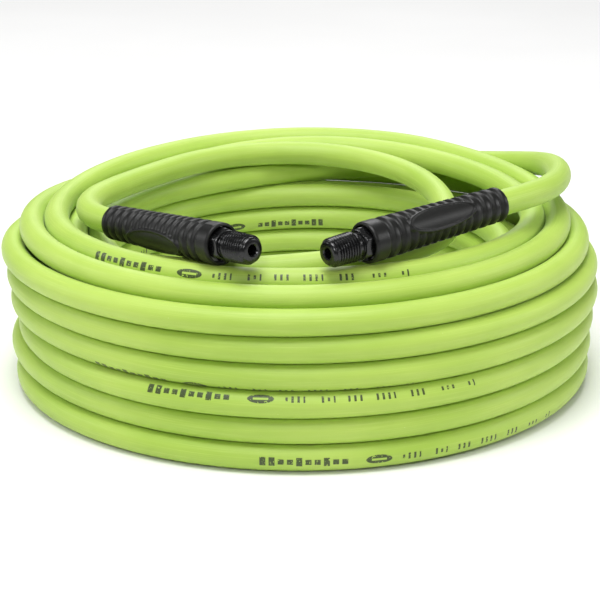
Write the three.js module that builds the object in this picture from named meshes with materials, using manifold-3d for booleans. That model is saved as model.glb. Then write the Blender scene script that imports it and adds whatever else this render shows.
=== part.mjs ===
// Coiled air hose: 15.24 m of 12 mm rubber hose wound into one coil that lies flat, with a threaded
// steel end, a crimped ferrule and a ribbed bend restrictor on each of its two free ends.
// Millimetres, +Z up. The origin is on the floor, under the middle of the coil.
import * as THREE from 'three';
import { mergeVertices } from 'three/addons/utils/BufferGeometryUtils.js';
import Module from 'manifold-3d';

const wasm = await Module();
wasm.setup();

// Driving dimensions.
const HOSE_OD = 12.0;
const HOSE_SIDES = 12;
const HOSE_STEP = 13; // spacing of the sections along a free stretch
const GAP = 0.3; // between faces that touch
const ROUND = 20; // facets around the turned pieces

// The coil, as the ring that its turns fill.
const COIL_OUTER_R = 144.5;
const COIL_INNER_R = 88;
const COIL_HEIGHT = 87.5;
const COIL_FACETS = 72;
const COIL_FOOT = 4; // how far the lowest turns round in at the floor
const COIL_TOP_OUTER_R = 130; // where the flat top of the pile ends
const COIL_SHOULDER_Z = 68; // where the outer wall starts to lean in

// One hose end. Distances run along its axis from the mouth of the bend restrictor towards the coil.
const THREAD = { tip: -20.5, start: -19.8, pitch: 1.411, crests: 9, radius: 6.45, depth: 0.9, taper: 1 / 32 };
const HEX = { front: -3.8, back: 3.0, acrossFlats: 13.4, chamfer: 1.0 };
const BORE_R = 2.4;
const BARB = { radius: 3.1, crest: 3.5, count: 4, first: 7, pitch: 4.2, end: 24.6 };
const FERRULE = { front: 3.4, lip: 4.6, end: 25, innerR: 6.6, lipR: 3.8, outerR: 7.6, crimps: 4, crimpDepth: 0.4 };
const LAYERS = { front: 5.0, end: 24.9 };
const LINER = { inner: 3.8, outer: 4.85 };
const BRAID = { inner: 5.0, outer: 5.4 };
const COVER = { inner: 5.55, outer: 6.3 };
const SLEEVE = {
  length: 80, mouthR: 9.4, tailR: 8.0, round: 1.6, collar: 9,
  grooveWidth: 2.4, grooveDepth: 1.0, hexR: 8.05, hexDepth: 3.8, ferruleR: 7.9, ferruleDepth: 26.3, hoseR: 6.4,
};
// Middles of the ring grooves along a sleeve, closer together beside the panel.
const GROOVES = [9.4, 15.2, 21.1, 25.8, 30.4, 35.1, 39.7, 44.4, 49, 53.7, 58.3, 64.2, 70, 75.8];
const PANEL = { from: 20, to: 60, width: 13, facets: 28, proud: 0.15 };
const SLEEVE_TRAVEL = 5; // how far a restrictor pushes back along the hose to bare the hexagon
const SLEEVE_CLEARANCE = 0.4;

// Where each end lies: the restrictor's mouth, the way its axis points towards the coil, and the free
// stretch of hose from the restrictor's tail to where it joins the pile.
const LEFT_END = {
  name: 'left', mouth: [-33.3, -105.3, 93], heading: 130.9, dip: 5.3, panelTurn: -110,
  route: [[-95.1, -32.1, 84.3], [-99.5, -21.7, 83.8], [-101.7, -10.6, 83.5], [-101.5, 0.7, 83.4],
    [-99, 11.7, 83.3], [-94.2, 21.9, 83.3], [-87.2, 31.4, 83.3], [-79.2, 41.2, 83.3]],
};
const RIGHT_END = {
  name: 'right', mouth: [27.5, -105.3, 93.5], heading: 38.7, dip: -2.6, panelTurn: 55,
  route: [[101.3, -45.7, 97.6], [109, -37, 97.4], [115.6, -26.6, 96.8], [120.6, -14.1, 96],
    [123.9, -0.6, 95], [125.5, 13.6, 93.8], [125.6, 28, 92.2], [124.3, 42, 90], [121.2, 55, 87.5],
    [115.3, 69.5, 84.1], [107, 85.6, 78.7]],
};

const FINISH = {
  hose: new THREE.MeshStandardMaterial({ color: 0xa9dc3c, roughness: 0.62, metalness: 0 }),
  liner: new THREE.MeshStandardMaterial({ color: 0x23262a, roughness: 0.5, metalness: 0 }),
  braid: new THREE.MeshStandardMaterial({ color: 0xe6e4da, roughness: 0.8, metalness: 0 }),
  restrictor: new THREE.MeshStandardMaterial({ color: 0x2b2d2c, roughness: 0.55, metalness: 0 }),
  fitting: new THREE.MeshStandardMaterial({ color: 0x141516, roughness: 0.25, metalness: 0.6 }),
  ferrule: new THREE.MeshStandardMaterial({ color: 0x8a8d90, roughness: 0.35, metalness: 0.9 }),
};

// A closed geometry as a solid that can be joined and cut.
function solid(geometry) {
  const plain = geometry.clone();
  plain.deleteAttribute('normal');
  plain.deleteAttribute('uv');
  const merged = mergeVertices(plain, 1e-4);
  return new wasm.Manifold(new wasm.Mesh({
    numProp: 3,
    vertProperties: new Float32Array(merged.attributes.position.array),
    triVerts: new Uint32Array(merged.index.array),
  }));
}

function geometryOf(body) {
  const mesh = body.getMesh();
  const geometry = new THREE.BufferGeometry();
  geometry.setAttribute('position', new THREE.BufferAttribute(new Float32Array(mesh.vertProperties), 3));
  geometry.setIndex(new THREE.BufferAttribute(new Uint32Array(mesh.triVerts), 1));
  geometry.computeVertexNormals();
  return geometry;
}

// A turned shape about Z. Its profile of [radius, height] points runs down the outside of the solid.
function turned(profile, facets = ROUND) {
  const points = profile.map(([radius, height]) => new THREE.Vector2(radius, height)).reverse();
  return new THREE.LatheGeometry(points, facets).rotateX(Math.PI / 2);
}

// A turned ring: the outline closes on itself.
function turnedRing(profile, facets = ROUND) {
  return turned([...profile, profile[0]], facets);
}

function sleeveRing(inner, outer, from, to) {
  return turnedRing([[inner, from], [inner, to], [outer, to], [outer, from]]);
}

function rod(radius, from, to) {
  return turned([[0, to], [radius, to], [radius, from], [0, from]]);
}

function part(name, geometry, finish) {
  const mesh = new THREE.Mesh(geometry, FINISH[finish]);
  mesh.name = name;
  return mesh;
}

function axisOf(end) {
  const heading = THREE.MathUtils.degToRad(end.heading);
  const dip = THREE.MathUtils.degToRad(end.dip);
  return new THREE.Vector3(
    Math.cos(heading) * Math.cos(dip), Math.sin(heading) * Math.cos(dip), -Math.sin(dip));
}

function along(end, distance) {
  return new THREE.Vector3(...end.mouth).addScaledVector(axisOf(end), distance);
}

// Turns a piece made about local Z so that it lies on the end's axis. Local Y stays as near up as it can.
function placeOnAxis(object, end) {
  const forward = axisOf(end);
  const side = new THREE.Vector3(0, 0, 1).cross(forward).normalize();
  const up = forward.clone().cross(side);
  object.matrix.makeBasis(side, up, forward).setPosition(...end.mouth);
  object.matrix.decompose(object.position, object.quaternion, object.scale);
  return object;
}

// The hose's centre line from the ferrule, straight past the restrictor's travel, then along its route.
function freeCentreLine(end) {
  const straight = [FERRULE.end + GAP, 45, 60, 73, SLEEVE.length + SLEEVE_TRAVEL];
  const points = straight.map((distance) => along(end, distance));
  end.route.forEach((point) => points.push(new THREE.Vector3(...point)));
  return new THREE.CatmullRomCurve3(points, false, 'centripetal');
}

function hoseAlong(curve, radius) {
  const section = new THREE.Shape();
  for (let side = 0; side < HOSE_SIDES; side += 1) {
    const angle = (2 * Math.PI * side) / HOSE_SIDES;
    const [x, y] = [radius * Math.cos(angle), radius * Math.sin(angle)];
    if (side === 0) section.moveTo(x, y);
    else section.lineTo(x, y);
  }
  section.closePath();
  const steps = Math.ceil(curve.getLength() / HOSE_STEP);
  return new THREE.ExtrudeGeometry(section, { steps, extrudePath: curve, bevelEnabled: false });
}

function freeEnd(end) {
  return part(`${end.name}_free_end`, hoseAlong(freeCentreLine(end), HOSE_OD / 2), 'hose');
}

// The room that one end needs in the pile: its free stretch, its fitting, and its restrictor through all
// its travel.
function roomFor(end) {
  const curve = freeCentreLine(end);
  const far = curve.getPoint(1).addScaledVector(curve.getTangent(1), GAP);
  const longer = new THREE.CatmullRomCurve3([...curve.points, far], false, 'centripetal');
  const channel = solid(hoseAlong(longer, HOSE_OD / 2 + GAP));
  const sweep = new THREE.Mesh(
    rod(SLEEVE.mouthR + SLEEVE_CLEARANCE, THREAD.tip - GAP, SLEEVE.length + SLEEVE_TRAVEL + GAP));
  placeOnAxis(sweep, end).updateMatrix();
  return channel.add(solid(sweep.geometry.applyMatrix4(sweep.matrix)));
}

// The wound turns as one ring, wide at the foot and leaning in above the shoulder.
function hoseCoil() {
  const ring = turnedRing([
    [COIL_INNER_R, COIL_FOOT],
    [COIL_INNER_R, COIL_HEIGHT - COIL_FOOT],
    [COIL_INNER_R + COIL_FOOT, COIL_HEIGHT],
    [COIL_TOP_OUTER_R, COIL_HEIGHT],
    [COIL_OUTER_R, COIL_SHOULDER_Z],
    [COIL_OUTER_R, COIL_FOOT],
    [COIL_OUTER_R - COIL_FOOT, 0],
    [COIL_INNER_R + COIL_FOOT, 0],
  ], COIL_FACETS);
  const body = solid(ring).subtract(roomFor(LEFT_END)).subtract(roomFor(RIGHT_END));
  return part('hose_coil', geometryOf(body), 'hose');
}

// Taper pipe thread: each crest is a little wider than the one before it.
function threadProfile() {
  const profile = [[THREAD.radius - THREAD.depth, THREAD.tip]];
  for (let crest = 0; crest < THREAD.crests; crest += 1) {
    const distance = THREAD.start + crest * THREAD.pitch;
    const radius = THREAD.radius + (distance - THREAD.tip) * THREAD.taper;
    profile.push([radius, distance + THREAD.pitch * 0.35], [radius, distance + THREAD.pitch * 0.5]);
    profile.push([radius - THREAD.depth, distance + THREAD.pitch]);
  }
  return profile;
}

function barbProfile() {
  const profile = [[BARB.radius, HEX.back]];
  for (let barb = 0; barb < BARB.count; barb += 1) {
    const distance = BARB.first + barb * BARB.pitch;
    profile.push([BARB.radius, distance], [BARB.crest, distance], [BARB.radius, distance + BARB.pitch * 0.8]);
  }
  profile.push([BARB.radius, BARB.end]);
  return profile;
}

// Threaded nipple, hexagon and barbed stem, in one piece, bored through.
function threadedStem(end) {
  const spine = [[0, THREAD.tip], ...threadProfile(), [THREAD.radius - THREAD.depth, HEX.front],
    ...barbProfile(), [0, BARB.end]].reverse();
  const corner = HEX.acrossFlats / Math.sqrt(3);
  const hexagon = new THREE.CylinderGeometry(corner, corner, HEX.back - HEX.front, 6)
    .rotateX(Math.PI / 2)
    .translate(0, 0, (HEX.back + HEX.front) / 2);
  const chamfer = turned([[0, HEX.back], [corner, HEX.back], [corner, HEX.front + HEX.chamfer],
    [corner - HEX.chamfer, HEX.front], [0, HEX.front]], ROUND * 2);
  const body = solid(hexagon).intersect(solid(chamfer)).add(solid(turned(spine)))
    .subtract(solid(rod(BORE_R, THREAD.tip - 1, BARB.end + 1)));
  return part(`${end.name}_threaded_stem`, geometryOf(body), 'fitting');
}

// Crimped ferrule: a lip that holds the stem, and a wall squeezed in at each crimp.
function ferrule(end) {
  const outside = [[FERRULE.outerR, FERRULE.end]];
  const pitch = (FERRULE.end - FERRULE.lip) / FERRULE.crimps;
  for (let crimp = FERRULE.crimps - 1; crimp >= 0; crimp -= 1) {
    const middle = FERRULE.lip + (crimp + 0.5) * pitch;
    outside.push([FERRULE.outerR, middle + pitch * 0.3]);
    outside.push([FERRULE.outerR - FERRULE.crimpDepth, middle]);
    outside.push([FERRULE.outerR, middle - pitch * 0.3]);
  }
  outside.push([FERRULE.outerR, FERRULE.front]);
  const profile = [[FERRULE.lipR, FERRULE.front], [FERRULE.lipR, FERRULE.lip],
    [FERRULE.innerR, FERRULE.lip], [FERRULE.innerR, FERRULE.end], ...outside];
  return part(`${end.name}_ferrule`, turnedRing(profile), 'ferrule');
}

// The hose's three layers where the ferrule squeezes them onto the barbed stem.
function hoseLayers(end) {
  const layer = (name, size, finish) => part(
    `${end.name}_hose_${name}`, sleeveRing(size.inner, size.outer, LAYERS.front, LAYERS.end), finish);
  return [layer('liner', LINER, 'liner'), layer('braid', BRAID, 'braid'), layer('cover', COVER, 'hose')];
}

function sleeveRadius(distance) {
  const share = Math.max(0, distance - SLEEVE.collar) / (SLEEVE.length - SLEEVE.collar);
  return SLEEVE.mouthR + (SLEEVE.tailR - SLEEVE.mouthR) * share;
}

function sleeveOutside(withGrooves) {
  const profile = [[SLEEVE.tailR - SLEEVE.round, SLEEVE.length], [SLEEVE.tailR, SLEEVE.length - SLEEVE.round]];
  if (withGrooves) {
    for (const middle of [...GROOVES].reverse()) {
      const radius = sleeveRadius(middle);
      profile.push([radius, middle + SLEEVE.grooveWidth / 2]);
      profile.push([radius - SLEEVE.grooveDepth, middle]);
      profile.push([radius, middle - SLEEVE.grooveWidth / 2]);
    }
  }
  profile.push([SLEEVE.mouthR, SLEEVE.round], [SLEEVE.mouthR - SLEEVE.round / 3, 0]);
  return profile;
}

// The blank oval panel, which fills the grooves on one side.
function ovalPanel() {
  const middle = (PANEL.from + PANEL.to) / 2;
  const outline = new THREE.Shape();
  outline.absellipse(0, 0, PANEL.width / 2, (PANEL.to - PANEL.from) / 2, 0, 2 * Math.PI, false, 0);
  const block = new THREE.ExtrudeGeometry(outline, {
    depth: SLEEVE.mouthR * 2, bevelEnabled: false, curveSegments: PANEL.facets, steps: 1,
  }).rotateX(Math.PI / 2).translate(0, SLEEVE.mouthR * 2, middle);
  const skin = sleeveOutside(false).map(([radius, distance]) => [radius + PANEL.proud, distance]);
  const full = turned([[0, SLEEVE.length], ...skin, [0, 0]]);
  return solid(block).intersect(solid(full));
}

// Ribbed rubber sleeve with a stepped bore for the hexagon, the ferrule and the hose.
function bendRestrictor(end) {
  const bore = turned([[0, SLEEVE.length + 1], [SLEEVE.hoseR, SLEEVE.length + 1],
    [SLEEVE.hoseR, SLEEVE.ferruleDepth], [SLEEVE.ferruleR, SLEEVE.ferruleDepth],
    [SLEEVE.ferruleR, SLEEVE.hexDepth], [SLEEVE.hexR, SLEEVE.hexDepth], [SLEEVE.hexR, -1], [0, -1]]);
  const outside = turned([[0, SLEEVE.length], ...sleeveOutside(true), [0, 0]]);
  const body = solid(outside).add(ovalPanel()).subtract(solid(bore));
  const mesh = part(`${end.name}_bend_restrictor`, geometryOf(body), 'restrictor');
  mesh.rotation.z = THREE.MathUtils.degToRad(end.panelTurn);
  return mesh;
}

function hoseEnd(end) {
  const group = placeOnAxis(new THREE.Group(), end);
  group.add(threadedStem(end), ferrule(end), ...hoseLayers(end), bendRestrictor(end));
  return group;
}

const airHose = new THREE.Group();
airHose.add(hoseCoil());
for (const end of [LEFT_END, RIGHT_END]) {
  airHose.add(freeEnd(end), hoseEnd(end));
}

export default airHose;
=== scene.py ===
"""A coiled air hose with a threaded fitting and a ribbed bend restrictor on each end."""
import logging
import math
import sys
from dataclasses import dataclass, field
from enum import Enum
from typing import ClassVar

import bmesh
import bpy
import numpy as np
from mathutils import Matrix, Vector

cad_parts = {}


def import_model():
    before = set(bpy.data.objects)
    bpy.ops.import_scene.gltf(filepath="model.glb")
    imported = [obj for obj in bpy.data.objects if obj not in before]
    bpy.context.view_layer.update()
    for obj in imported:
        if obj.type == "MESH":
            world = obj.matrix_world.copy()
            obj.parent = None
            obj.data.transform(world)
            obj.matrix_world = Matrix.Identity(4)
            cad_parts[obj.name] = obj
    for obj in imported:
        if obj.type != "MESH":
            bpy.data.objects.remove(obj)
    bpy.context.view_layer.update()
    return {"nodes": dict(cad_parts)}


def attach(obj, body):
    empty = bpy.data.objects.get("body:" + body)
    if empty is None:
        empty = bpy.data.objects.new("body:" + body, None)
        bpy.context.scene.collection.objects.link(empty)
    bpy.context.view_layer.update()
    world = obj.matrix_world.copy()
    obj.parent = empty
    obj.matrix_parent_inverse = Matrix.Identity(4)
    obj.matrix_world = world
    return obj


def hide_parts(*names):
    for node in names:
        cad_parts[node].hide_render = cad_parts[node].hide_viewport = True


log = logging.getLogger("air_hose")

MM = 0.001
HOSE_OD = 12.0
HOSE_RADIUS = HOSE_OD / 2
Point = tuple[float, float, float]
Station = tuple[float, float]
Colour = tuple[float, float, float]


class Side(Enum):
    """Which end of the hose a piece belongs to."""

    LEFT = "left"
    RIGHT = "right"


# ---- shader sums


class Sum:
    """A value in a node tree that Python's operators turn into Math nodes."""

    def __init__(self, tree: bpy.types.NodeTree, socket: bpy.types.NodeSocket) -> None:
        """Keeps the tree and the output socket that holds the value."""
        self.tree = tree
        self.socket = socket

    def _math(self, operation: str, *values: "Sum | float") -> "Sum":
        """Adds one Math node.

        Args:
            operation: the Math node's operation.
            values: its inputs in order.

        Returns:
            The node's result.
        """
        node = self.tree.nodes.new("ShaderNodeMath")
        node.operation = operation
        for slot, value in zip(node.inputs, values):
            if isinstance(value, Sum):
                self.tree.links.new(value.socket, slot)
            else:
                slot.default_value = value
        return Sum(self.tree, node.outputs[0])

    def __add__(self, other: "Sum | float") -> "Sum":
        """Adds."""
        return self._math("ADD", self, other)

    def __radd__(self, other: float) -> "Sum":
        """Adds to a plain number."""
        return self._math("ADD", other, self)

    def __sub__(self, other: "Sum | float") -> "Sum":
        """Subtracts."""
        return self._math("SUBTRACT", self, other)

    def __rsub__(self, other: float) -> "Sum":
        """Subtracts from a plain number."""
        return self._math("SUBTRACT", other, self)

    def __mul__(self, other: "Sum | float") -> "Sum":
        """Multiplies."""
        return self._math("MULTIPLY", self, other)

    def __rmul__(self, other: float) -> "Sum":
        """Multiplies a plain number."""
        return self._math("MULTIPLY", other, self)

    def __truediv__(self, other: "Sum | float") -> "Sum":
        """Divides."""
        return self._math("DIVIDE", self, other)

    def __abs__(self) -> "Sum":
        """Drops the sign."""
        return self._math("ABSOLUTE", self)

    def power(self, exponent: float) -> "Sum":
        """Raises to a power."""
        return self._math("POWER", self, exponent)

    def root(self) -> "Sum":
        """Takes the square root."""
        return self._math("SQRT", self)

    def wave(self) -> "Sum":
        """Takes the sine."""
        return self._math("SINE", self)

    def whole(self) -> "Sum":
        """Rounds down to a whole number."""
        return self._math("FLOOR", self)

    def part(self) -> "Sum":
        """Keeps what is past the whole number."""
        return self._math("FRACT", self)

    def higher(self, other: "Sum | float") -> "Sum":
        """Keeps the higher of two values."""
        return self._math("MAXIMUM", self, other)

    def lower(self, other: "Sum | float") -> "Sum":
        """Keeps the lower of two values."""
        return self._math("MINIMUM", self, other)

    def above(self, level: "Sum | float") -> "Sum":
        """Gives 1 where the value is above a level."""
        return self._math("GREATER_THAN", self, level)

    def ramp(self, low: float, high: float) -> "Sum":
        """Eases from 0 at one level to 1 at another.

        Args:
            low: the level that gives 0.
            high: the level that gives 1. It may be below low.

        Returns:
            The eased value.
        """
        node = self.tree.nodes.new("ShaderNodeMapRange")
        node.interpolation_type = "SMOOTHSTEP"
        first, last = (low, high) if low < high else (high, low)
        node.inputs["From Min"].default_value = first
        node.inputs["From Max"].default_value = last
        node.inputs["To Min"].default_value = 0.0 if low < high else 1.0
        node.inputs["To Max"].default_value = 1.0 if low < high else 0.0
        self.tree.links.new(self.socket, node.inputs["Value"])
        return Sum(self.tree, node.outputs["Result"])


class Paint:
    """A material under construction: it adds nodes and ends them in one surface shader."""

    def __init__(self, name: str) -> None:
        """Starts an empty material of that name."""
        self.material = bpy.data.materials.new(name)
        self.material.use_nodes = True
        self.tree = self.material.node_tree
        self.tree.nodes.clear()

    def node(self, kind: str, settings: dict | None = None,
             sockets: dict | None = None) -> bpy.types.Node:
        """Adds any node but a Math node.

        Args:
            kind: the node's type.
            settings: what to set on the node itself, first.
            sockets: values or links for its inputs, by name or index.

        Returns:
            The node.
        """
        node = self.tree.nodes.new(kind)
        for name, value in (settings or {}).items():
            setattr(node, name, value)
        for name, value in (sockets or {}).items():
            if isinstance(value, Sum):
                value = value.socket
            if isinstance(value, bpy.types.NodeSocket):
                self.tree.links.new(value, node.inputs[name])
            else:
                node.inputs[name].default_value = value
        return node

    def place(self, scale: Point = (1.0, 1.0, 1.0), turn: Point = (0.0, 0.0, 0.0),
              centre: Point = (0.0, 0.0, 0.0)) -> bpy.types.NodeSocket:
        """Gives coordinates in metres about a centre, turned and then scaled.

        Args:
            scale: the factor along each axis.
            turn: the angles about each axis, in radians.
            centre: the point that becomes the origin.

        Returns:
            The vector.
        """
        where = self.node("ShaderNodeTexCoord").outputs["Object"]
        moved = self.node("ShaderNodeVectorMath", {"operation": "SUBTRACT"}, {0: where, 1: centre})
        turned = self.node("ShaderNodeMapping", {"vector_type": "POINT"},
                           {"Vector": moved.outputs[0], "Rotation": turn})
        return self.node("ShaderNodeVectorMath", {"operation": "MULTIPLY"},
                         {0: turned.outputs[0], 1: scale}).outputs[0]

    def noise(self, where: bpy.types.NodeSocket, scale: float, detail: float = 3.0,
              roughness: float = 0.55) -> Sum:
        """Adds fractal noise.

        Args:
            where: the coordinates.
            scale: its size.
            detail: its octaves.
            roughness: how strong the fine octaves are.

        Returns:
            The noise, about 0.5 on average.
        """
        node = self.node("ShaderNodeTexNoise", None, {
            "Vector": where, "Scale": scale, "Detail": detail, "Roughness": roughness})
        return Sum(self.tree, node.outputs["Fac"])

    def cells(self, where: bpy.types.NodeSocket, scale: float) -> Sum:
        """Adds the distance to the nearest of many scattered points."""
        node = self.node("ShaderNodeTexVoronoi", None, {"Vector": where, "Scale": scale})
        return Sum(self.tree, node.outputs["Distance"])

    def value(self, name: str) -> Sum:
        """Reads a number that the piece's mesh carries."""
        node = self.node("ShaderNodeAttribute", {"attribute_name": name})
        return Sum(self.tree, node.outputs["Fac"])

    def blend(self, share: Sum, below: "Colour | bpy.types.NodeSocket",
              above: "Colour | bpy.types.NodeSocket") -> bpy.types.NodeSocket:
        """Mixes two colours.

        Args:
            share: 0 for the first colour, 1 for the second.
            below: the first colour.
            above: the second colour.

        Returns:
            The mixed colour.
        """
        node = self.tree.nodes.new("ShaderNodeMix")
        node.data_type = "RGBA"
        self.tree.links.new(share.socket, node.inputs["Factor"])
        for name, colour in (("A", below), ("B", above)):
            slot = next(s for s in node.inputs if (s.name, s.type) == (name, "RGBA"))
            if isinstance(colour, bpy.types.NodeSocket):
                self.tree.links.new(colour, slot)
            else:
                slot.default_value = (*colour, 1.0)
        return next(s for s in node.outputs if s.type == "RGBA")

    def bump(self, height: Sum, distance: float, strength: float = 1.0) -> bpy.types.NodeSocket:
        """Turns a height from 0 to 1 into a normal.

        Args:
            height: the height.
            distance: what a height of 1 stands for, in metres.
            strength: how much of it shows.

        Returns:
            The normal.
        """
        return self.node("ShaderNodeBump", None, {
            "Height": height, "Distance": distance, "Strength": strength}).outputs["Normal"]

    def finish(self, **sockets: object) -> bpy.types.Material:
        """Ends the material in one surface shader.

        Args:
            sockets: the shader's inputs, with _ for a space in their names.

        Returns:
            The material.
        """
        named = {name.replace("_", " "): value for name, value in sockets.items()}
        shader = self.node("ShaderNodeBsdfPrincipled", None, named)
        self.node("ShaderNodeOutputMaterial", None, {"Surface": shader.outputs[0]})
        return self.material


# ---- finishes


@dataclass(frozen=True)
class PrintMark:
    """One group of plain strokes in the line printed along the hose, in millimetres."""

    start: float
    length: float
    pitch: float = 2.5
    stroke: float = 0.4
    height: float = 1.5


@dataclass(frozen=True)
class HoseRubber:
    """Satin lime rubber with a line of plain dark strokes that repeats along the hose."""

    name: str = "lime_hose_rubber"
    lime: Colour = (0.43, 0.60, 0.095)
    fresh: Colour = (0.50, 0.65, 0.13)
    shade: Colour = (0.36, 0.54, 0.065)
    ink: Colour = (0.022, 0.036, 0.010)
    scuffed: Colour = (0.60, 0.72, 0.30)
    repeat: float = 817.6
    first: float = 1300.0
    badge: Point = (50.5, 5.6, 2.1)
    marks: tuple[PrintMark, ...] = (
        PrintMark(0.0, 38.0, 3.8, 0.66, 2.0),
        PrintMark(60.0, 9.0),
        PrintMark(75.0, 6.5),
        PrintMark(86.0, 8.0, height=1.4),
        PrintMark(98.0, 9.0),
        PrintMark(113.0, 8.0),
        PrintMark(127.0, 7.0),
        PrintMark(140.0, 4.0),
    )

    def strokes(self, paint: Paint, along: Sum, across: Sum) -> Sum:
        """Draws the print.

        Args:
            paint: the material.
            along: millimetres along the hose.
            across: millimetres round it from the printed line.

        Returns:
            1 in the ink and 0 on bare rubber.
        """
        place = ((self.first - along) / self.repeat).part() * self.repeat
        middle, half_long, half_high = self.badge
        off_middle = place - middle
        oval = (abs(off_middle / half_long).power(2.0) + abs(across / half_high).power(2.0)).root()
        bare = abs(off_middle).ramp(half_long * 0.6, half_long * 0.55) * abs(across).ramp(0.6, 0.4)
        ink = oval.ramp(1.04, 0.96) * (1.0 - bare)
        for mark in self.marks:
            into = place - mark.start
            inside = into.above(0.0) * (1.0 - into.above(mark.length))
            count = into / mark.pitch
            bar = abs(count.part() - 0.5).ramp(mark.stroke / 2 + 0.05, mark.stroke / 2 - 0.05)
            short = ((count.whole() * 1.7 + mark.start).wave() * 17.3).part().above(0.55)
            high = (mark.height * (1.0 - 0.4 * short) - abs(across)).ramp(-0.12, 0.12)
            ink = ink.higher(bar * inside * high)
        return ink

    def material(self) -> bpy.types.Material:
        """Builds the hose's rubber."""
        paint = Paint(self.name)
        along_round = paint.node("ShaderNodeSeparateXYZ", None, {
            0: paint.node("ShaderNodeUVMap", {"uv_map": "UVMap"}).outputs[0]})
        along = Sum(paint.tree, along_round.outputs[0]) * 1000.0
        turn = Sum(paint.tree, along_round.outputs[1])
        across = (turn - 0.5) * (2 * math.pi * HOSE_RADIUS)
        where = paint.place()
        broad = paint.noise(where, 14.0, 3.0)
        dust = paint.noise(where, 95.0, 5.0, 0.65)
        grain = paint.noise(where, 2600.0, 2.0, 0.6)
        drawn = paint.noise(paint.node("ShaderNodeCombineXYZ", None, {
            0: along * 0.012, 1: (turn * (2 * math.pi)).wave() * 5.0,
            2: (turn * (2 * math.pi) + math.pi / 2).wave() * 5.0}).outputs[0], 2.4, 3.0)
        scuff = paint.cells(where, 240.0).ramp(0.09, 0.02) * dust.ramp(0.52, 0.66)
        rubber = paint.blend(broad.ramp(0.3, 0.7), self.shade, self.lime)
        rubber = paint.blend(drawn.ramp(0.48, 0.75) * 0.5, rubber, self.fresh)
        rubber = paint.blend(scuff * 0.35, rubber, self.scuffed)
        worn = paint.noise(where, 1300.0, 2.0).ramp(0.30, 0.42)
        ink = self.strokes(paint, along, across) * worn
        colour = paint.blend(ink * 0.94, rubber, self.ink)
        height = grain * 0.5 + dust * 0.3 + drawn * 0.2
        return paint.finish(
            Base_Color=colour, Roughness=0.46 + 0.12 * dust - 0.06 * ink,
            Normal=paint.bump(height, 0.00022, 0.55), Specular_IOR_Level=0.55, Sheen_Weight=0.1,
            Sheen_Roughness=0.4, IOR=1.5)


@dataclass(frozen=True)
class MouldedRubber:
    """Dark moulded rubber with a fine spark-eroded grain and pale dust down in its grooves."""

    name: str = "dark_moulded_rubber"
    rubber: Colour = (0.0045, 0.0047, 0.0042)
    pale: Colour = (0.009, 0.0093, 0.0085)
    dust_colour: Colour = (0.028, 0.03, 0.024)

    def material(self) -> bpy.types.Material:
        """Builds the restrictors' rubber."""
        paint = Paint(self.name)
        where = paint.place()
        broad = paint.noise(where, 70.0, 3.0)
        fine = paint.noise(where, 900.0, 4.0, 0.7)
        grain = paint.cells(where, 1500.0)
        low = 1.0 - paint.value("relief")
        dust = (low * fine.ramp(0.42, 0.7)).lower(1.0) * 0.35
        polish = paint.value("relief").ramp(0.75, 1.0) * broad.ramp(0.35, 0.65)
        colour = paint.blend(broad.ramp(0.3, 0.7), self.rubber, self.pale)
        colour = paint.blend(dust, colour, self.dust_colour)
        return paint.finish(
            Base_Color=colour, Roughness=0.36 + 0.16 * fine - 0.08 * polish + 0.2 * dust,
            Normal=paint.bump(grain * 0.6 + fine * 0.4, 0.00008, 0.5),
            Specular_IOR_Level=0.3, IOR=1.5)


@dataclass(frozen=True)
class BlackPlate:
    """Glossy black coated steel, with handling marks and brighter thread crests."""

    name: str = "black_coated_steel"
    black: Colour = (0.0045, 0.0048, 0.005)
    steel: Colour = (0.06, 0.061, 0.063)

    def material(self) -> bpy.types.Material:
        """Builds the fittings' coating."""
        paint = Paint(self.name)
        where = paint.place()
        smear = paint.noise(where, 160.0, 4.0, 0.6)
        drawn_out = paint.place(scale=(1.0, 1.0, 9.0), turn=(0.4, 0.2, 0.9))
        scratch = paint.noise(drawn_out, 900.0, 3.0, 0.7)
        crest = paint.value("relief")
        worn = crest.ramp(0.86, 1.0) * smear.ramp(0.4, 0.62) * 0.55
        nick = paint.cells(where, 420.0).ramp(0.10, 0.03) * scratch.ramp(0.5, 0.62)
        colour = paint.blend((worn + nick * 0.3).lower(1.0), self.black, self.steel)
        return paint.finish(
            Base_Color=colour, Metallic=0.25 + 0.6 * worn,
            Roughness=0.14 + 0.16 * smear + 0.12 * scratch.ramp(0.45, 0.7),
            Normal=paint.bump(scratch * 0.4 + smear * 0.6, 0.00003, 0.5), Specular_IOR_Level=0.45,
            Coat_Weight=0.3, Coat_Roughness=0.1)


@dataclass(frozen=True)
class PlatedSteel:
    """Bright plated steel, turned on a lathe and dulled where the dies pressed it."""

    name: str = "plated_steel"
    bright: Colour = (0.56, 0.57, 0.58)
    dull: Colour = (0.36, 0.365, 0.36)

    def material(self) -> bpy.types.Material:
        """Builds the ferrules' plating."""
        paint = Paint(self.name)
        where = paint.place()
        turned = paint.noise(paint.place(scale=(0.2, 0.2, 6.0)), 900.0, 4.0, 0.7)
        cloud = paint.noise(where, 120.0, 4.0, 0.6)
        spot = paint.cells(where, 600.0).ramp(0.08, 0.02)
        colour = paint.blend(cloud.ramp(0.35, 0.65), self.dull, self.bright)
        colour = paint.blend(spot * 0.5, colour, (0.2, 0.19, 0.17))
        return paint.finish(
            Base_Color=colour, Metallic=0.95 - 0.3 * spot,
            Roughness=0.26 + 0.2 * turned + 0.1 * cloud,
            Normal=paint.bump(turned, 0.00004, 0.5), IOR=1.5)


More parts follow.
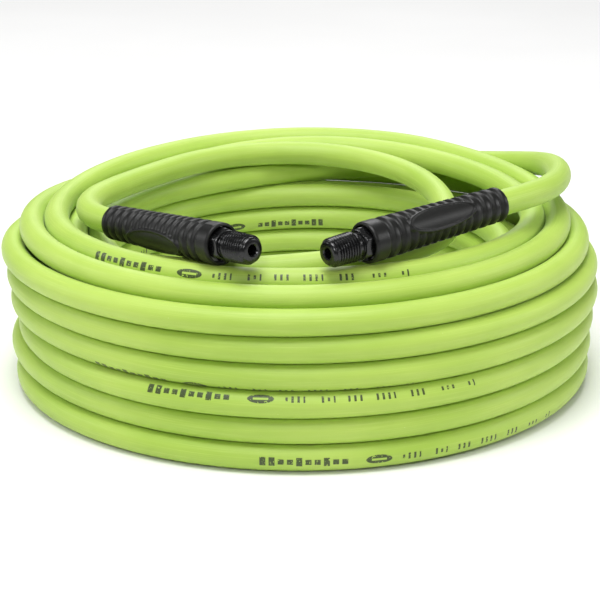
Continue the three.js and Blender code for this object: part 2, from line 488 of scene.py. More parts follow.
@dataclass(frozen=True)
class BraidYarn:
    """Off-white reinforcing yarn, crossed at a steep angle round the liner."""

    name: str = "braid_yarn"
    heading: float = 0.0
    yarn: Colour = (0.66, 0.64, 0.56)
    between: Colour = (0.25, 0.24, 0.19)

    def material(self) -> bpy.types.Material:
        """Builds the braid."""
        paint = Paint(self.name)
        lie = {"turn": (0.0, 0.0, -math.radians(self.heading))}
        one, other = (Sum(paint.tree, paint.node(
            "ShaderNodeTexWave", {"bands_direction": "DIAGONAL"},
            {"Vector": where, "Scale": 380.0, "Distortion": 0.6, "Detail": 1.0}).outputs["Fac"])
            for where in (paint.place(**lie), paint.place(scale=(-1.0, 1.0, 1.0), **lie)))
        strands = one.higher(other)
        fuzz = paint.noise(paint.place(), 2400.0, 4.0, 0.7)
        colour = paint.blend(strands.ramp(0.2, 0.8) * (0.8 + 0.2 * fuzz), self.between, self.yarn)
        return paint.finish(
            Base_Color=colour, Roughness=0.75 + 0.2 * fuzz,
            Normal=paint.bump(strands * 0.8 + fuzz * 0.2, 0.0002, 0.8), Sheen_Weight=0.3)


@dataclass(frozen=True)
class CoverRubber:
    """The hose's rubber where the ferrule squeezes it, without any print."""

    name: str = "squeezed_hose_rubber"
    lime: Colour = (0.40, 0.66, 0.035)
    mark: Colour = (0.26, 0.44, 0.02)

    def material(self) -> bpy.types.Material:
        """Builds the squeezed rubber."""
        paint = Paint(self.name)
        where = paint.place()
        cloud = paint.noise(where, 180.0, 4.0, 0.6)
        grain = paint.noise(where, 2600.0, 2.0)
        return paint.finish(
            Base_Color=paint.blend(cloud.ramp(0.35, 0.7), self.mark, self.lime),
            Roughness=0.5 + 0.15 * cloud, Normal=paint.bump(grain, 0.0001, 0.5), IOR=1.48)


@dataclass(frozen=True)
class LinerRubber:
    """Smooth dark inner tube with a faint bloom."""

    name: str = "liner_rubber"
    rubber: Colour = (0.018, 0.019, 0.021)
    bloom: Colour = (0.06, 0.062, 0.066)

    def material(self) -> bpy.types.Material:
        """Builds the inner tube's rubber."""
        paint = Paint(self.name)
        where = paint.place()
        cloud = paint.noise(where, 300.0, 4.0, 0.6)
        grain = paint.noise(where, 3000.0, 2.0)
        colour = paint.blend(cloud.ramp(0.5, 0.8), self.rubber, self.bloom)
        return paint.finish(
            Base_Color=colour, Roughness=0.42 + 0.2 * cloud, Normal=paint.bump(grain, 0.00008, 0.5),
            IOR=1.5)


@dataclass(frozen=True)
class FloorPaper:
    """Pale studio paper."""

    name: str = "studio_paper"
    white: Colour = (0.90, 0.90, 0.895)
    fibre: Colour = (0.87, 0.87, 0.865)

    def material(self) -> bpy.types.Material:
        """Builds the floor's paper."""
        paint = Paint(self.name)
        where = paint.place()
        cloud = paint.noise(where, 3.0, 3.0)
        fibres = paint.noise(where, 700.0, 3.0)
        return paint.finish(
            Base_Color=paint.blend(cloud.ramp(0.3, 0.7), self.fibre, self.white),
            Roughness=0.85 + 0.1 * fibres, Normal=paint.bump(fibres, 0.0001, 0.2),
            Specular_IOR_Level=0.2)


# ---- the ends' axes and the hose's route


@dataclass(frozen=True)
class Axis:
    """The straight line that one end's turned pieces lie on, from the mouth towards the coil."""

    mouth: Point
    heading: float
    dip: float

    def forward(self) -> Vector:
        """Points from the mouth towards the coil."""
        heading, dip = math.radians(self.heading), math.radians(self.dip)
        level = math.cos(dip)
        return Vector((math.cos(heading) * level, math.sin(heading) * level, -math.sin(dip)))

    def at(self, distance: float) -> Vector:
        """Gives the point that far from the mouth, in millimetres."""
        return Vector(self.mouth) + self.forward() * distance

    def matrix(self) -> Matrix:
        """Takes a piece made in millimetres about local Z to its place in metres."""
        forward = self.forward()
        side = Vector((0.0, 0.0, 1.0)).cross(forward).normalized()
        up = forward.cross(side)
        turn = Matrix((side, up, forward)).transposed().to_4x4()
        return Matrix.Scale(MM, 4) @ Matrix.Translation(Vector(self.mouth)) @ turn


@dataclass(frozen=True)
class HoseEnd:
    """One end of the hose: its axis, its panel's turn and the route of its free stretch."""

    side: Side
    axis: Axis
    panel_turn: float
    route: tuple[Point, ...]
    straight: tuple[float, ...] = (25.3, 45.0, 60.0, 73.0, 85.0)

    @property
    def name(self) -> str:
        """Gives the side's name."""
        return self.side.value

    @property
    def body(self) -> str:
        """Gives the body that this end's restrictor slides as."""
        return f"{self.name}_restrictor"

    def knots(self) -> np.ndarray:
        """Gives the free stretch's points, from the ferrule to the pile."""
        return np.array([tuple(self.axis.at(d)) for d in self.straight] + list(self.route))


ENDS = (
    HoseEnd(
        Side.LEFT, Axis((-33.3, -105.3, 93.0), 130.9, 5.3), -110.0,
        ((-95.1, -32.1, 84.3), (-99.5, -21.7, 83.8), (-101.7, -10.6, 83.5), (-101.5, 0.7, 83.4),
         (-99.0, 11.7, 83.3), (-94.2, 21.9, 83.3), (-87.2, 31.4, 83.3), (-79.2, 41.2, 83.3))),
    HoseEnd(
        Side.RIGHT, Axis((27.5, -105.3, 93.5), 38.7, -2.6), 55.0,
        ((101.3, -45.7, 97.6), (109.0, -37.0, 97.4), (115.6, -26.6, 96.8), (120.6, -14.1, 96.0),
         (123.9, -0.6, 95.0), (125.5, 13.6, 93.8), (125.6, 28.0, 92.2), (124.3, 42.0, 90.0),
         (121.2, 55.0, 87.5), (115.3, 69.5, 84.1), (107.0, 85.6, 78.7))),
)


def distances(points: np.ndarray) -> np.ndarray:
    """Gives each point's distance along a line of points."""
    return np.concatenate([[0.0], np.cumsum(np.linalg.norm(np.diff(points, axis=0), axis=1))])


def unit(rows: np.ndarray) -> np.ndarray:
    """Gives each row's direction, with a length of one."""
    return rows / np.linalg.norm(rows, axis=1)[:, None]


def spaced(points: np.ndarray, step: float) -> np.ndarray:
    """Gives points at even steps along a line of points.

    Args:
        points: the line.
        step: about how far apart the new points are.

    Returns:
        The new points, with both ends kept.
    """
    along = distances(points)
    wanted = np.linspace(0.0, along[-1], int(round(along[-1] / step)) + 1)
    return np.stack([np.interp(wanted, along, points[:, axis]) for axis in range(3)], axis=1)


def eased(knots: np.ndarray, values: np.ndarray, where: np.ndarray) -> np.ndarray:
    """Runs a smooth curve through values at knots.

    Args:
        knots: where each value stands, in rising order.
        values: one row for each knot.
        where: where the curve is wanted.

    Returns:
        One row for each wanted place.
    """
    slope = np.gradient(values, knots, axis=0)
    left = np.clip(np.searchsorted(knots, where, side="right") - 1, 0, len(knots) - 2)
    width = (knots[left + 1] - knots[left])[:, None]
    t = (where[:, None] - knots[left][:, None]) / width
    return ((2 * t**3 - 3 * t**2 + 1) * values[left] + (t**3 - 2 * t**2 + t) * width * slope[left]
            + (3 * t**2 - 2 * t**3) * values[left + 1] + (t**3 - t**2) * width * slope[left + 1])


@dataclass(frozen=True)
class TurnPlan:
    """Where the hose runs: each turn's (radius, height) at the back, right, front and left."""

    turns: tuple[tuple[Station, ...], ...] = (
        ((96.5, 83), (71, 77.5), (98.5, 82.5), (107, 69)),
        ((109, 82.5), (112.5, 78), (110, 78.2), (116, 77)),
        ((122, 84), (123.5, 77.5), (121.5, 74), (128.5, 75)),
        ((134.5, 63), (133, 68), (131.7, 65), (137.5, 63)),
        ((132, 51.5), (137.5, 57), (132.3, 53.5), (135.3, 50)),
        ((133, 40.5), (138, 45), (133, 42), (133.6, 38.8)),
        ((134, 29.5), (136.3, 32.5), (134, 30.2), (132.3, 27)),
        ((133.5, 17.5), (135.6, 19.8), (133.8, 17.6), (131.5, 15.5)),
        ((134, 6), (134.9, 8), (134, 6), (131.5, 6)),
        ((121, 6), (121.5, 6), (121, 6), (119.5, 6)),
        ((120, 19), (121, 18.5), (120, 20), (119, 22)),
        ((118, 34), (118, 36), (117, 38), (116, 42)),
        ((114, 52), (113, 54), (113, 50), (111, 40)),
        ((109, 28), (109, 22), (108.5, 18), (108.5, 10)),
        ((109, 6), (109, 6), (109, 6), (108, 6)),
        ((98, 9), (98, 12), (97.5, 16), (97.5, 20)),
        ((98, 23.5), (97.5, 26), (97, 28), (97.5, 31)),
        ((97.8, 35.5), (97, 38), (97, 40), (97.5, 44)),
        ((97.6, 48), (97, 50), (97, 54), (97.5, 57)),
        ((98, 60.5), (98, 62), (99, 65), (100, 67)),
        ((104.5, 70.5),),
    )
    crossing: tuple[tuple[float, Station], ...] = ((0.05, (117, 71.5)), (0.09, (130, 73.5)))
    print_lean: tuple[float, ...] = (
        -110, 36, -90, -110, -110, -60, 44, -90, 0, 20, 60,
        90, 60, 20, 60, 120, 150, 180, 210, 240, 260, 280)
    lean_first: float = 0.93
    step: float = 6.0
    rounds: int = 240
    reach: float = 138.3
    pile_gap: float = 0.1
    join_width: float = 35.0
    free_smoothing: int = 12
    join_smoothing: int = 30
    guard_span: tuple[float, float, float] = (-20.0, 86.0, 3.0)
    guard_at: tuple[float, ...] = (-4.5, -4.0, 0.0, 0.1, 9.0, 80.0, 85.0)
    guard_radius: tuple[float, ...] = (6.9, 7.8, 7.8, 9.4, 9.4, 8.0, 8.0)
    guard_gap: float = 0.3
    unguarded: float = 77.0
    release: float = 12.0
    search_every: int = 12
    search_block: int = 500

    def wound(self) -> np.ndarray:
        """Gives the turns' line, from the left end's route to the right end's."""
        start, finish = (np.array(end.route[-1]) for end in ENDS)
        first, last = (math.atan2(p[1], p[0]) for p in (start, finish))
        lead = (first - math.pi / 2) / (2 * math.pi)
        at, radius_height = [0.0], [(math.hypot(*start[:2]), start[2])]
        for count, turn in enumerate(self.turns):
            for quarter, station in enumerate(turn):
                at.append(lead + count + quarter / 4)
                radius_height.append(station)
        top = at[-1]
        for past, station in self.crossing:
            at.append(top + past)
            radius_height.append(station)
        at.append(top + (math.pi / 2 - last) / (2 * math.pi))
        radius_height.append((math.hypot(*finish[:2]), finish[2]))
        share = np.linspace(0.0, at[-1], 200 * int(at[-1]))
        line = eased(np.array(at), np.array(radius_height, float), share)
        angle = first - 2 * math.pi * share
        radius, height = line.T
        return np.stack([radius * np.cos(angle), radius * np.sin(angle), height], axis=1)

    def free(self, end: HoseEnd) -> np.ndarray:
        """Gives one free stretch's line, from its ferrule."""
        knots = end.knots()
        pace = np.sqrt(np.linalg.norm(np.diff(knots, axis=0), axis=1))
        at = np.concatenate([[0.0], np.cumsum(pace)])
        line = spaced(eased(at, knots, np.linspace(0.0, at[-1], 40 * len(knots))), self.step / 2)
        for _ in range(self.free_smoothing):
            line = smoothed(line)
        return line

    def line(self) -> np.ndarray:
        """Joins the free stretches and the turns, and eases the two joins."""
        left, right = self.free(ENDS[0]), self.free(ENDS[1])[::-1]
        line = spaced(np.concatenate([left[:-1], self.wound(), right[1:]]), self.step)
        along = distances(line)
        joins = (distances(left)[-1], along[-1] - distances(right)[-1])
        near = np.max([np.exp(-((along - join) / self.join_width) ** 2) for join in joins], axis=0)
        near[near < 0.01] = 0.0
        for _ in range(self.join_smoothing):
            line += (smoothed(line) - line) * near[:, None]
        return line

    def guards(self) -> tuple[np.ndarray, np.ndarray]:
        """Gives points along both ends' hard pieces, and how far the pile stays off each."""
        centres, room = [], []
        for end in ENDS:
            for distance in np.arange(*self.guard_span):
                radius = float(np.interp(distance, self.guard_at, self.guard_radius))
                centres.append(tuple(end.axis.at(distance)))
                room.append(radius + HOSE_RADIUS + self.guard_gap)
        return np.array(centres), np.array(room)

    def settled(self) -> np.ndarray:
        """Lets the planned line settle until no stretch lies in another, in the floor or in an end.

        Returns:
            The hose's centre line in millimetres, from the left ferrule to the right one.
        """
        plan = self.line()
        along = distances(plan)
        straight = ENDS[0].straight[-1] - ENDS[0].straight[0]
        past = np.minimum(along - straight, along[-1] - straight - along)
        free = np.clip(past / self.release, 0, 1)[:, None]
        centres, room = self.guards()
        guarded = np.minimum(along, along[-1] - along) > self.unguarded
        moved = np.zeros_like(plan)
        for turn in range(self.rounds):
            line = plan + moved
            if turn % self.search_every == 0:
                one, two = self.neighbours(line)
            push = self.parted(line, one, two, free) + self.cleared(line, centres, room, guarded)
            moved += push * free * 0.9
            moved *= 1.0 - 0.02 * max(0.0, 1.0 - turn / (self.rounds * 0.75))
            moved = smoothed(smoothed(moved))
            line = plan + moved
            moved[:, 2] += np.maximum(0.0, HOSE_RADIUS - line[:, 2])
            radius = np.hypot(line[:, 0], line[:, 1])
            moved[:, :2] -= line[:, :2] * (np.maximum(0.0, radius - self.reach) / radius)[:, None]
        return plan + moved

    def neighbours(self, line: np.ndarray) -> tuple[np.ndarray, np.ndarray]:
        """Finds pairs of points on different stretches that are near each other.

        Args:
            line: the hose's centre line.

        Returns:
            The pairs' first and second indices.
        """
        firsts, seconds = [], []
        for start in range(0, len(line), self.search_block):
            apart = ((line[start:start + self.search_block, None] - line[None]) ** 2).sum(2)
            first, second = np.where(apart < (HOSE_OD * 1.6) ** 2)
            first = first + start
            later = (second - first) * self.step > 3 * HOSE_OD
            firsts.append(first[later])
            seconds.append(second[later])
        return np.concatenate(firsts), np.concatenate(seconds)

    def parted(self, line: np.ndarray, one: np.ndarray, two: np.ndarray,
               free: np.ndarray) -> np.ndarray:
        """Pushes neighbouring stretches a diameter apart.

        Args:
            line: the hose's centre line.
            one: the pairs' first indices.
            two: the pairs' second indices.
            free: how free each point is to move.

        Returns:
            A move for each point.
        """
        heading = unit(np.gradient(line, axis=0))
        gap = line[two] - line[one]
        same = np.sign((heading[one] * heading[two]).sum(1))[:, None]
        shared = unit(heading[one] + heading[two] * same)
        run = (gap * shared).sum(1)
        across = gap - run[:, None] * shared
        apart = np.linalg.norm(across, axis=1)
        short = np.maximum(0.0, HOSE_OD + self.pile_gap - apart) * (np.abs(run) < 0.8 * self.step)
        shift = across / np.maximum(apart, 1e-6)[:, None] * short[:, None]
        total = np.maximum(free[one] + free[two], 1e-6)
        push, count = np.zeros_like(line), np.zeros(len(line))
        np.add.at(push, one, -shift * free[one] / total)
        np.add.at(push, two, shift * free[two] / total)
        np.add.at(count, one[short > 0], 1.0)
        np.add.at(count, two[short > 0], 1.0)
        return push / np.maximum(1.0, count / 2.2)[:, None]

    def cleared(self, line: np.ndarray, centres: np.ndarray, room: np.ndarray,
                guarded: np.ndarray) -> np.ndarray:
        """Pushes the pile out of the fittings and restrictors.

        Args:
            line: the hose's centre line.
            centres: the guards' centres.
            room: how far the line stays from each.
            guarded: which points have to stay clear.

        Returns:
            A move for each point.
        """
        away = line[:, None] - centres[None]
        far = np.linalg.norm(away, axis=2)
        short = np.maximum(0.0, room[None] - far) * guarded[:, None]
        worst = short.argmax(1)
        row = np.arange(len(line))
        outward = away[row, worst] / np.maximum(far[row, worst], 1e-6)[:, None]
        return outward * short[row, worst][:, None]

    def lean(self, line: np.ndarray) -> np.ndarray:
        """Gives how far round the hose its print stands, from outwards towards up, in radians."""
        turned = -np.unwrap(np.arctan2(line[:, 1], line[:, 0]))
        count = (turned - turned[0]) / (2 * math.pi)
        return np.radians(np.interp(count - self.lean_first, np.arange(len(self.print_lean)),
                                    self.print_lean))


def smoothed(line: np.ndarray) -> np.ndarray:
    """Evens a line out a little, with its ends kept."""
    even = line.copy()
    even[1:-1] = 0.5 * line[1:-1] + 0.25 * (line[:-2] + line[2:])
    return even


# ---- pieces


def make_piece(bm: bmesh.types.BMesh, name: str, finish: bpy.types.Material,
               sharp: float) -> bpy.types.Object:
    """Ends a mesh and puts it in the scene.

    Args:
        bm: the mesh, in metres and in place.
        name: the piece's name.
        finish: its material.
        sharp: the angle in degrees past which an edge stays crisp.

    Returns:
        The object, at the origin.
    """
    bmesh.ops.remove_doubles(bm, verts=bm.verts, dist=1e-7)
    bmesh.ops.recalc_face_normals(bm, faces=bm.faces)
    for face in bm.faces:
        face.smooth = True
    mesh = bpy.data.meshes.new(name)
    bm.to_mesh(mesh)
    bm.free()
    mesh.set_sharp_from_angle(angle=math.radians(sharp))
    mesh.materials.append(finish)
    piece = bpy.data.objects.new(name, mesh)
    bpy.context.scene.collection.objects.link(piece)
    log.info("%s: %d faces", name, len(mesh.polygons))
    return piece


@dataclass
class HoseRun:
    """The whole hose as one tube, wound from the left ferrule to the right one."""

    plan: TurnPlan = field(default_factory=TurnPlan)
    name: str = "lime_hose"
    ring: int = 28
    length: float = 15.24
    finish: HoseRubber = field(default_factory=HoseRubber)

    def build(self) -> bpy.types.Object:
        """Sweeps the tube along its settled centre line.

        Returns:
            The hose.
        """
        self.path = spaced(self.plan.settled(), self.plan.step)
        along = distances(self.path)
        log.info("hose centre line: %.3f m", along[-1] * MM)
        heading = unit(np.gradient(self.path, axis=0))
        outward = self.path * (1.0, 1.0, 0.0)
        outward = unit(outward - (outward * heading).sum(1)[:, None] * heading)
        upward = np.cross(heading, outward)
        lean = self.plan.lean(self.path)
        bm = bmesh.new()
        uv = bm.loops.layers.uv.new("UVMap")
        bmesh.ops.create_grid(bm, x_segments=len(self.path) - 1, y_segments=self.ring, size=1.0,
                              calc_uvs=True)
        shares = np.array([v.co[:2] for v in bm.verts]) * 0.5 + 0.5
        index = np.rint(shares[:, 0] * (len(self.path) - 1)).astype(int)
        angle = lean[index] + (shares[:, 1] - 0.5) * 2 * math.pi
        places = self.path[index] + HOSE_RADIUS * (
            np.cos(angle)[:, None] * outward[index] + np.sin(angle)[:, None] * upward[index])
        for vert, place in zip(bm.verts, places * MM):
            vert.co = place
        for face in bm.faces:
            for loop in face.loops:
                loop[uv].uv.x *= along[-1] * MM
        bmesh.ops.remove_doubles(bm, verts=bm.verts, dist=1e-7)
        bmesh.ops.holes_fill(bm, edges=[e for e in bm.edges if e.is_boundary], sides=self.ring)
        return make_piece(bm, self.name, self.finish.material(), 80.0)

    def declare(self, piece: bpy.types.Object) -> None:
        """Attaches the hose to its body and hides the CAD coil and free ends that it stands for.

        Args:
            piece: the hose.
        """
        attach(piece, "hose")
        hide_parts("hose_coil", "left_free_end", "right_free_end")


@dataclass
class Turned:
    """A piece turned about its end's axis: a profile spun round, then cut in by a relief."""

    end: HoseEnd
    steps: int = 96
    sharp: float = 40.0

    def outside(self) -> list[Station]:
        """Gives the outer wall as (distance, radius), from the mouth's side to the coil's."""
        raise NotImplementedError

    def bore(self) -> list[Station]:
        """Gives the inner wall as (distance, radius), from the coil's side to the mouth's."""
        raise NotImplementedError

    def relief(self, distance: float, radius: float, angle: float) -> tuple[float, float]:
        """Shapes the outer wall at one point.

        Args:
            distance: how far along the axis it is.
            radius: the plain radius there.
            angle: where it is round the axis, in radians.

        Returns:
            The shaped radius, and 0 in a hollow to 1 on a crest.
        """
        raise NotImplementedError

    def build(self, name: str, finish: bpy.types.Material) -> bpy.types.Object:
        """Spins the profile and shapes it.

        Args:
            name: the piece's name.
            finish: its material.

        Returns:
            The piece.
        """
        bm = bmesh.new()
        wall = bm.verts.layers.float.new("wall")
        crest = bm.verts.layers.float.new("relief")
        rows = [(1.0, s) for s in self.outside()] + [(0.0, s) for s in self.bore()]
        verts = []
        for outer, (distance, radius) in rows:
            vert = bm.verts.new((radius, 0.0, distance))
            vert[wall] = outer
            verts.append(vert)
        edges = [bm.edges.new((verts[i - 1], verts[i])) for i in range(len(verts))]
        bmesh.ops.spin(bm, geom=verts + edges, cent=(0, 0, 0), axis=(0, 0, 1), angle=2 * math.pi,
                       steps=self.steps, use_merge=True, use_duplicate=False)
        for vert in bm.verts:
            vert[crest] = 0.5
            if vert[wall] > 0.5:
                x, y, distance = vert.co
                radius = math.hypot(x, y)
                shaped, vert[crest] = self.relief(distance, radius, math.atan2(y, x))
                vert.co.x, vert.co.y = x * shaped / radius, y * shaped / radius
        bmesh.ops.transform(bm, matrix=self.end.axis.matrix(), verts=bm.verts)
        return make_piece(bm, name, finish, self.sharp)


def rounded(corner: Station, size: float, start: float, turn: float,
            count: int = 6) -> list[Station]:
    """Gives a quarter round's stations.

    Args:
        corner: the round's centre, as (distance, radius).
        size: the round's own radius.
        start: the angle it starts at, in degrees, from the axis.
        turn: how far it turns, in degrees.
        count: its stations.

    Returns:
        The stations.
    """
    angles = np.radians(np.linspace(start, start + turn, count))
    return [(corner[0] + size * math.cos(a), corner[1] + size * math.sin(a)) for a in angles]


@dataclass
class BendRestrictor(Turned):
    """A ribbed rubber sleeve with a smooth collar at its mouth and a blank oval panel."""

    steps: int = 144
    sharp: float = 60.0
    length: float = 80.0
    mouth_radius: float = 9.4
    tail_radius: float = 8.0
    collar: float = 9.0
    mouth_round: float = 1.5
    tail_round: float = 1.3
    grooves: tuple[float, ...] = (
        9.4, 15.2, 21.1, 25.8, 30.4, 35.1, 39.7, 44.4, 49.0, 53.7, 58.3, 64.2, 70.0, 75.8)
    groove_width: float = 2.7
    groove_depth: float = 1.3
    panel_from: float = 20.0
    panel_to: float = 60.0
    panel_width: float = 13.0
    rim_width: float = 1.3
    rim_height: float = 0.55
    field_height: float = -0.05
    seam_height: float = 0.14
    seam_width: float = 0.42
    fine_step: float = 0.42
    hexagon_pocket: Station = (3.8, 8.05)
    ferrule_pocket: Station = (26.3, 7.9)
    hose_radius: float = 6.4

    def plain(self, distance: float) -> float:
        """Gives the sleeve's plain outer radius."""
        share = max(0.0, distance - self.collar) / (self.length - self.collar)
        return self.mouth_radius + (self.tail_radius - self.mouth_radius) * share

    def outside(self) -> list[Station]:
        """Gives the outer wall: the rounded mouth, the ribbed length and the rounded tail."""
        size = self.mouth_round
        mouth = [(size - size * math.cos(a), self.mouth_radius - size * 0.55 * (1 - math.sin(a)))
                 for a in np.radians(np.linspace(0, 90, 8))]
        middle = [(d, self.plain(d)) for d in np.arange(
            size + self.fine_step, self.length - self.tail_round, self.fine_step)]
        tail = rounded((self.length - self.tail_round, self.tail_radius - self.tail_round),
                       self.tail_round, 90.0, -80.0)
        return mouth + middle + tail

    def bore(self) -> list[Station]:
        """Gives the stepped bore: the hose's, the ferrule's and the hexagon's."""
        hexagon, pocket = self.hexagon_pocket, self.ferrule_pocket
        return [(self.length, self.hose_radius + 0.25), (self.length - 0.6, self.hose_radius),
                (self.length * 0.6, self.hose_radius), (pocket[0], self.hose_radius), pocket,
                (hexagon[0], pocket[1]), hexagon, (0.0, hexagon[1])]

    def relief(self, distance: float, radius: float, angle: float) -> tuple[float, float]:
        """Cuts the ring grooves, raises the panel's rim and leaves the mould's parting lines."""
        facing = math.radians(90.0 + self.end.panel_turn)
        away = (angle - facing + math.pi) % (2 * math.pi) - math.pi
        half_long, half_wide = (self.panel_to - self.panel_from) / 2, self.panel_width / 2
        u = away * self.mouth_radius / half_wide
        w = (distance - (self.panel_from + self.panel_to) / 2) / half_long
        size = max(math.hypot(u, w), 1e-4)
        outside = (size - 1) * size / max(math.hypot(u / half_wide, w / half_long), 1e-4)
        off = min(abs(distance - middle) for middle in self.grooves) / (self.groove_width / 2)
        groove = max(0.0, 1 - off * off) ** 0.7
        shoulder = 1.0 if off < 1 else max(0.0, 1 - (off - 1) / 0.8) ** 2
        groove = max(groove, 0.14 * shoulder)
        groove *= min(1.0, max(0.0, (outside - 0.1) / 0.9))
        rim = max(0.0, 1 - ((outside + self.rim_width / 2) / (self.rim_width / 2)) ** 2) ** 0.5
        field_share = 1.0 if outside < -self.rim_width / 2 else 0.0
        seam = abs(abs(away) - math.pi / 2) * radius
        seam_share = 0.0
        if distance > self.mouth_round:
            seam_share = math.exp(-(seam / self.seam_width) ** 2)
        shaped = (radius - self.groove_depth * groove + self.rim_height * rim
                  + self.field_height * field_share * (1 - rim)
                  + self.seam_height * seam_share * (1 - groove))
        return shaped, 1.0 - groove - 0.25 * field_share * (1 - rim)


@dataclass
class ThreadedStem(Turned):
    """A taper-threaded nipple, a hexagon and a barbed stem in one turned piece, bored through."""

    tip: float = -20.5
    thread_start: float = -19.7
    thread_end: float = -6.0
    pitch: float = 1.411
    depth: float = 0.9
    radius: float = 6.45
    taper: float = 1 / 32
    hexagon: Station = (-3.8, 3.0)
    flats: float = 13.4
    chamfer: float = 1.0
    bore_radius: float = 2.4
    barb_radius: float = 3.1
    barb_crest: float = 3.5
    barbs: int = 4
    first_barb: float = 7.0
    barb_pitch: float = 4.2
    tail: float = 24.6
    fine_step: float = 0.1

    @property
    def corner(self) -> float:
        """Gives the hexagon's radius at its corners."""
        return self.flats / math.sqrt(3)

    def outside(self) -> list[Station]:
        """Gives the outer wall: chamfered tip, thread, neck, hexagon and barbs."""
        root = self.radius - self.depth
        shoulder = self.corner - self.chamfer
        wall = [(self.tip, self.bore_radius + 0.5), (self.tip, root - 0.75),
                (self.tip + 0.08, root - 0.6), (self.tip + 0.55, root - 0.1)]
        wall += [(d, root) for d in np.arange(self.thread_start, self.thread_end, self.fine_step)]
        front, back = self.hexagon
        wall += [(self.thread_end + 0.2, root), (front - 0.15, root), (front, root + 0.15)]
        wall += [(front, shoulder - 0.15), (front + 0.1, shoulder + 0.05)]
        wall += [(d, self.corner) for d in np.linspace(front + 0.2, back - 0.1, 26)]
        wall += [(back, self.corner - 0.2), (back, self.barb_radius)]
        for barb in range(self.barbs):
            start = self.first_barb + barb * self.barb_pitch
            wall += [(start, self.barb_radius), (start + 0.05, self.barb_crest),
                     (start + self.barb_pitch * 0.8, self.barb_radius)]
        return wall + [(self.tail, self.barb_radius)]

    def bore(self) -> list[Station]:
        """Gives the bore, with a small countersink at the tip."""
        return [(d, self.bore_radius) for d in (self.tail, 0.0, self.tip + 0.5)]

    def relief(self, distance: float, radius: float, angle: float) -> tuple[float, float]:
        """Cuts the thread and the hexagon's flats."""
        if self.thread_start <= distance <= self.thread_end:
            turns = (distance - self.thread_start) / self.pitch - angle / (2 * math.pi)
            height = min(1.0, max(0.0, (0.5 - abs(turns % 1.0 - 0.5)) * 2.5 - 0.12))
            lead = (min(1.0, (distance - self.thread_start) / 1.1)
                    * min(1.0, (self.thread_end - distance) / 0.9))
            grown = (distance - self.tip) * self.taper
            return radius + grown + self.depth * height * lead, height * lead
        front, back = self.hexagon
        if front <= distance <= back and radius > self.flats / 2 - 0.6:
            off = (angle + math.pi / 6) % (math.pi / 3) - math.pi / 6
            flat = self.flats / 2 / math.cos(off)
            bevel = self.corner - self.chamfer + (distance - front)
            shaped = min(radius, flat, self.corner - 0.12, bevel)
            return shaped, 1.0 if shaped < flat - 1e-6 or abs(off) > math.radians(28) else 0.3
        return radius, 0.3


@dataclass
class EndKit:
    """The pieces on one end of the hose, and the finishes of the CAD pieces inside it."""

    end: HoseEnd

    def build(self, finishes: dict[str, bpy.types.Material], nodes: dict) -> list[bpy.types.Object]:
        """Makes and dresses one end.

        Args:
            finishes: the materials by slot.
            nodes: the CAD nodes by name.

        Returns:
            The pieces that go with the hose.
        """
        name = self.end.name
        stem = ThreadedStem(self.end).build(f"{name}_nipple", finishes["fitting"])
        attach(stem, "hose")
        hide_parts(f"{name}_threaded_stem")
        sleeve = BendRestrictor(self.end).build(f"{name}_ribbed_sleeve", finishes["restrictor"])
        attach(sleeve, self.end.body)
        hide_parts(f"{name}_bend_restrictor")
        braid = BraidYarn(f"{name}_braid_yarn", self.end.axis.heading).material()
        dress = {"ferrule": finishes["ferrule"], "hose_liner": finishes["liner"],
                 "hose_braid": braid, "hose_cover": finishes["cover"]}
        for part, finish in dress.items():
            node = nodes[f"{name}_{part}"]
            for slot in node.material_slots:
                slot.material = finish
            log.info("%s dressed in %s", node.name, finish.name)
        return [stem, sleeve]


# ---- studio


@dataclass(frozen=True)
class SoftBox:
    """One area light, aimed at the coil."""

    name: str
    place: Point
    size: float
    power: float


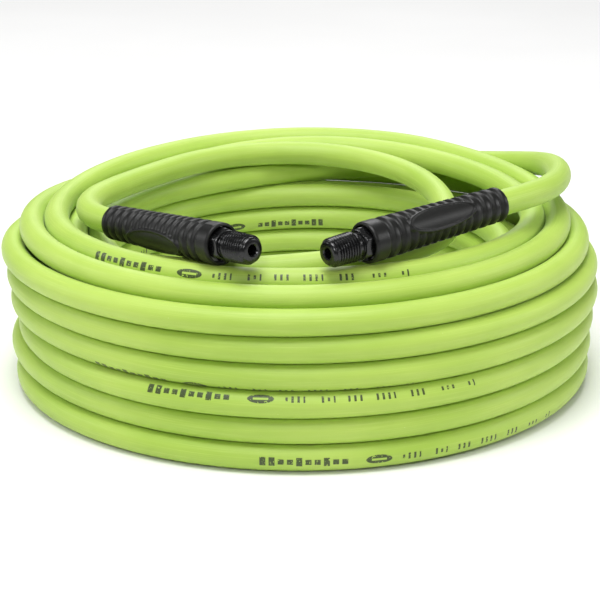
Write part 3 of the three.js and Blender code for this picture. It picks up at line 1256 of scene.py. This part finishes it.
@dataclass(frozen=True)
class Studio:
    """A pale floor, soft lights and the camera."""

    camera_place: Point = (0.0, -942.67, 343.22)
    camera_target: Point = (0.0, 0.0, 33.103)
    lens: float = 121.52
    sensor: float = 36.0
    floor_size: float = 6.0
    floor_drop: float = 0.0004
    surround: Colour = (1.0, 1.0, 1.0)
    surround_strength: float = 0.16
    boxes: ClassVar[tuple[SoftBox, ...]] = (
        SoftBox("overhead_box", (-0.1, -0.3, 1.45), 0.8, 20.0),
        SoftBox("back_box", (0.0, 2.2, 1.9), 1.6, 30.0),
        SoftBox("front_box", (-0.25, -1.7, 1.15), 0.5, 10.0),
        SoftBox("right_box", (1.5, -0.1, 0.7), 0.5, 7.0),
        SoftBox("left_box", (-1.5, 0.1, 0.7), 0.5, 6.0),
    )

    def camera(self) -> None:
        """Sets the camera up."""
        data = bpy.data.cameras.new("camera")
        data.lens, data.sensor_width, data.clip_end = self.lens, self.sensor, 50.0
        camera = bpy.data.objects.new("camera", data)
        self.hang(camera, Vector(self.camera_place) * MM)
        bpy.context.scene.camera = camera

    def hang(self, thing: bpy.types.Object, place: Vector) -> None:
        """Puts a camera or a light in its place, aimed at the coil."""
        aim = Vector(self.camera_target) * MM
        thing.location = place
        thing.rotation_euler = (aim - place).to_track_quat("-Z", "Y").to_euler()
        bpy.context.scene.collection.objects.link(thing)

    def lights(self) -> None:
        """Hangs the soft boxes and lights the surround."""
        for box in self.boxes:
            data = bpy.data.lights.new(box.name, "AREA")
            data.shape, data.size, data.energy = "SQUARE", box.size, box.power
            self.hang(bpy.data.objects.new(box.name, data), Vector(box.place))
        world = bpy.data.worlds.new("studio")
        world.use_nodes = True
        background = world.node_tree.nodes["Background"]
        background.inputs["Color"].default_value = (*self.surround, 1.0)
        background.inputs["Strength"].default_value = self.surround_strength
        bpy.context.scene.world = world
        bpy.context.scene.view_settings.view_transform = "Standard"

    def floor(self) -> None:
        """Lays the floor."""
        bm = bmesh.new()
        bmesh.ops.create_grid(bm, x_segments=4, y_segments=4, size=self.floor_size,
                              matrix=Matrix.Translation((0.0, 0.0, -self.floor_drop)))
        make_piece(bm, "studio_floor", FloorPaper().material(), 30.0)


def main() -> None:
    """Builds the studio, the hose and its two ends."""
    logging.basicConfig(level=logging.INFO, format="%(name)s: %(message)s", stream=sys.stdout)
    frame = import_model()
    studio = Studio()
    studio.camera()
    run = HoseRun()
    hose = run.build()
    finishes = {"fitting": BlackPlate().material(), "restrictor": MouldedRubber().material(),
                "ferrule": PlatedSteel().material(), "liner": LinerRubber().material(),
                "cover": CoverRubber().material()}
    fittings = [piece for end in ENDS for piece in EndKit(end).build(finishes, frame["nodes"])]
    run.declare(hose)
    studio.lights()
    studio.floor()


if __name__ == "__main__":
    main()
